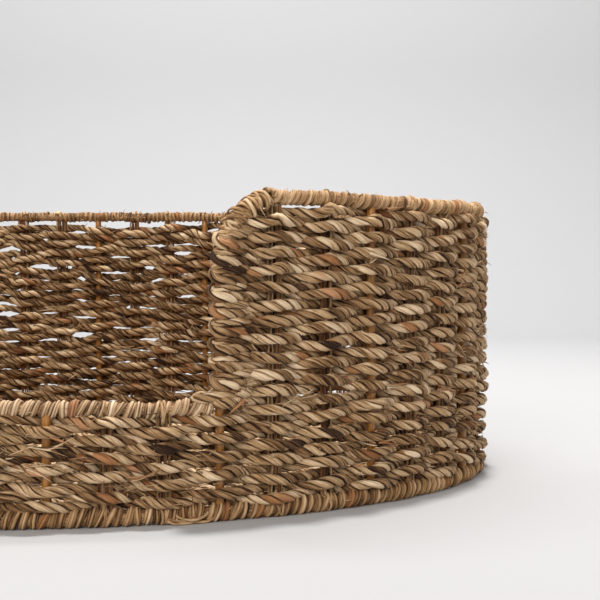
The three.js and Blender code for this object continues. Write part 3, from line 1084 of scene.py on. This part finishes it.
def base_rods():
    """The five canes that cross the base."""
    for i, (low, high) in enumerate(BASE_CANES):
        y = np.linspace(low.y, high.y, 40)
        line = np.stack([np.full(40, BASE_CANE_X[i]), y, np.full(40, MAT_Z)], 1)
        cane(f"base_rod_{i + 1}", line, UP, (high.x - low.x) / 2, core_look, "rattan_core",
             [f"base_cane_{i + 1}"], 10)


def base_row(skin, y, count):
    """A row of cord across the base, over and under the canes and the strands between them."""
    half = half_chord(y, MAT_HALF_Y, MAT_HALF_X) + 0.005
    x = np.linspace(-half, half, max(8, int(2 * half / 0.0028)))
    swing = np.cos(math.pi * (x / BASE_SPACING + count))
    z = MAT_Z + BASE_SWING * swing + wander(0.03, 0.0003, 1.0)(x)
    line = np.stack([x, y + wander(0.04, 0.0004, 1.0)(x), z], 1)
    look = seagrass_look(rng.normal(0.5, 0.05))
    twisted_cord(skin, line, UP, 0.86, look, rng.uniform(0, math.tau), step=2)


def base_weave():
    """The base's rows, in strips from front to back."""
    for strip in range(BASE_STRIPS):
        low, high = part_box(f"base_mat_{strip + 1}")
        skin = Skin()
        for row in range(ROWS_PER_STRIP):
            y = low.y + (row + 0.5) / ROWS_PER_STRIP * (high.y - low.y)
            base_row(skin, y, strip * ROWS_PER_STRIP + row)
        skin.piece(f"base_weave_{strip + 1}", mat_look, "seagrass_mat", [f"base_mat_{strip + 1}"])


def base_strands():
    """The bundles of strand that cross the base between its canes."""
    skin = Skin()
    for k in range(-8, 9):
        if k % 3 == 0:
            continue
        x = k * BASE_SPACING
        half = half_chord(x, MAT_HALF_X, MAT_HALF_Y) + 0.003
        y = np.linspace(-half, half, max(8, int(2 * half / 0.008)))
        for j in range(3):
            line = np.stack([x + (j - 1) * 0.002 + 0 * y, y, MAT_Z + 0 * y], 1)
            strand(skin, line, UP, 0.0009, 0.0011, rng.normal(0.5, 0.1), 0.0, 5)
    skin.piece("base_strands", warp_look, "seagrass_mat")


# ---- Floor, lights and camera
def stage():
    """A floor that bends up into a backdrop."""
    floor = bpy.data.meshes.new("studio_floor")
    width, front, back, bend, rise = 6.0, -9.0, 1.6, 0.7, 3.2
    bends = np.linspace(0, math.pi / 2, 17)
    curve = [(back + bend * math.sin(angle), bend - bend * math.cos(angle)) for angle in bends]
    profile = [(front, 0.0)] + curve + [(back + bend, rise)]
    points = [(x, y, z) for y, z in profile for x in (-width, width)]
    faces = [(2 * i, 2 * i + 1, 2 * i + 3, 2 * i + 2) for i in range(len(profile) - 1)]
    floor.from_pydata(points, [], faces)
    floor.polygons.foreach_set("use_smooth", [True] * len(faces))
    paper = Shading("pale_paper")
    paper.feed(paper.shader, {"Base Color": PAPER, "Roughness": 0.9})
    floor.materials.append(paper.material)
    add_object("studio_floor", floor)


def lamp(name, at, towards, size, power, colour=(1, 1, 1)):
    """A rectangular softbox."""
    data = bpy.data.lights.new(name, "AREA")
    data.shape = "RECTANGLE"
    data.size, data.size_y = size
    data.energy = power
    data.color = colour
    light = add_object(name, data)
    light.location = at
    light.rotation_euler = (Vector(towards) - Vector(at)).to_track_quat("-Z", "Y").to_euler()


def lights():
    """A dim room, a small hard softbox overhead, a fill from in front and a wash on the backdrop."""
    bpy.context.scene.view_settings.view_transform = "Standard"
    world = bpy.data.worlds.new("studio")
    world.use_nodes = True
    background = world.node_tree.nodes["Background"].inputs
    background["Color"].default_value = (1.0, 0.985, 0.97, 1)
    background["Strength"].default_value = ROOM_LIGHT
    bpy.context.scene.world = world
    lamp("top_softbox", (0.34, 0.10, 1.9), (0.2, 0.0, 0), (0.14, 0.14), 32, (1.0, 0.98, 0.95))
    lamp("front_fill", (-0.7, -2.6, 1.4), (0.1, 0, 0.1), (2.0, 1.6), 45, (1.0, 0.965, 0.925))
    lamp("backdrop_wash", (0.0, 0.9, 2.4), (0, 2.3, 0.6), (2.5, 0.8), 53)


CAMERA_AT = (0.2014, -0.9038, 0.1528)
CAMERA_YAW = math.radians(-0.14)
FOCAL = 1.9226  # focal length over the picture's width
HORIZON = 0.0531  # how far above the picture's middle the horizon lies, over its width


def camera():
    """The photograph's camera, fitted to the basket's outline."""
    data = bpy.data.cameras.new("camera")
    data.sensor_width = 36
    data.lens = data.sensor_width * FOCAL
    pitch = math.atan(HORIZON / FOCAL)
    view = add_object("camera", data)
    view.location = CAMERA_AT
    ahead = Vector((math.sin(CAMERA_YAW) * math.cos(pitch), math.cos(CAMERA_YAW) * math.cos(pitch),
                    -math.sin(pitch)))
    view.rotation_euler = ahead.to_track_quat("-Z", "Y").to_euler()
    bpy.context.scene.camera = view


camera()
weave_rows()
posts()
edge_canes()
soft_warps()
rims()
edge_turns()
corner_bindings()
ties()
stray_fibres()
rim_fibres()
cut_cord_ends()
splices()
slipped_strand()
base_rods()
base_weave()
base_strands()
stage()
lights()
